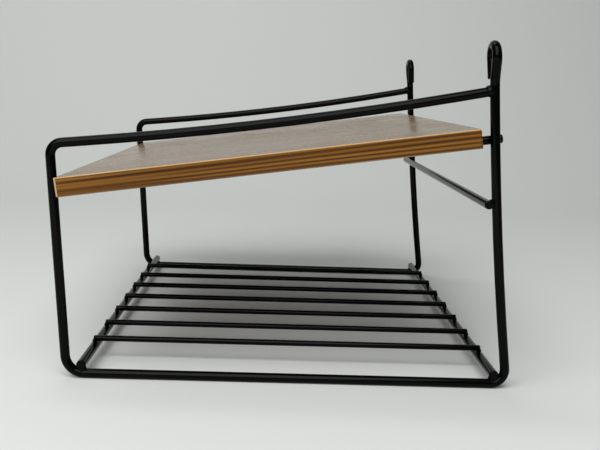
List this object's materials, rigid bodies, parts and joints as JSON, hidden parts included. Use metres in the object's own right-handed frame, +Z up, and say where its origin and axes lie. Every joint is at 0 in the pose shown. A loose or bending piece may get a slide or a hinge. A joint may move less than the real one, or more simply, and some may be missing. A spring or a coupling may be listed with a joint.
{
  "type": "wall-hung wire shelf",
  "caption": "Wall-hung shelf of bent black steel rod with hanging eyelets, a thin-wire rack below and a loose sloping wood-decor board above.",
  "frame": {"origin": "middle of the footprint, on the plane that the two bottom rails stand on", "axes": "+Z up, +Y towards the wall, +X to the right as seen from the room"},
  "size_m": [0.373, 0.2924, 0.2175],
  "materials": {
    "black_lacquer": "gloss black lacquer on steel rod",
    "decor_laminate": "satin walnut decor laminate",
    "backing_laminate": "matt brown backing laminate",
    "wood_edging": "satin striped veneer",
    "chipboard": "raw chipboard"
  },
  "bodies": {
    "frame": {"left_side_frame": "black_lacquer", "right_side_frame": "black_lacquer", "front_cross_bar": "black_lacquer", "rear_cross_bar": "black_lacquer", "shelf_wire_1": "black_lacquer", "shelf_wire_2": "black_lacquer", "shelf_wire_3": "black_lacquer", "shelf_wire_4": "black_lacquer", "shelf_wire_5": "black_lacquer", "shelf_wire_6": "black_lacquer", "shelf_wire_7": "black_lacquer", "rear_brace": "black_lacquer", "left_board_support": "black_lacquer", "right_board_support": "black_lacquer", "left_top_rail_weld": "black_lacquer", "right_top_rail_weld": "black_lacquer", "cross_bar_welds": "black_lacquer", "brace_welds": "black_lacquer", "board_support_welds": "black_lacquer", "shelf_wire_welds": "black_lacquer"},
    "board": {"board_core": "chipboard", "board_top_laminate": "decor_laminate", "board_bottom_laminate": "backing_laminate", "board_front_edging": "wood_edging", "board_rear_edging": "wood_edging", "board_left_edging": "wood_edging", "board_right_edging": "wood_edging"}
  },
  "joints": [
    {"name": "board_lift", "type": "slide", "parent": "frame", "child": "board", "axis": [0, -0.0673, 0.9977], "range_m": [0, 0.012]}
  ]
}
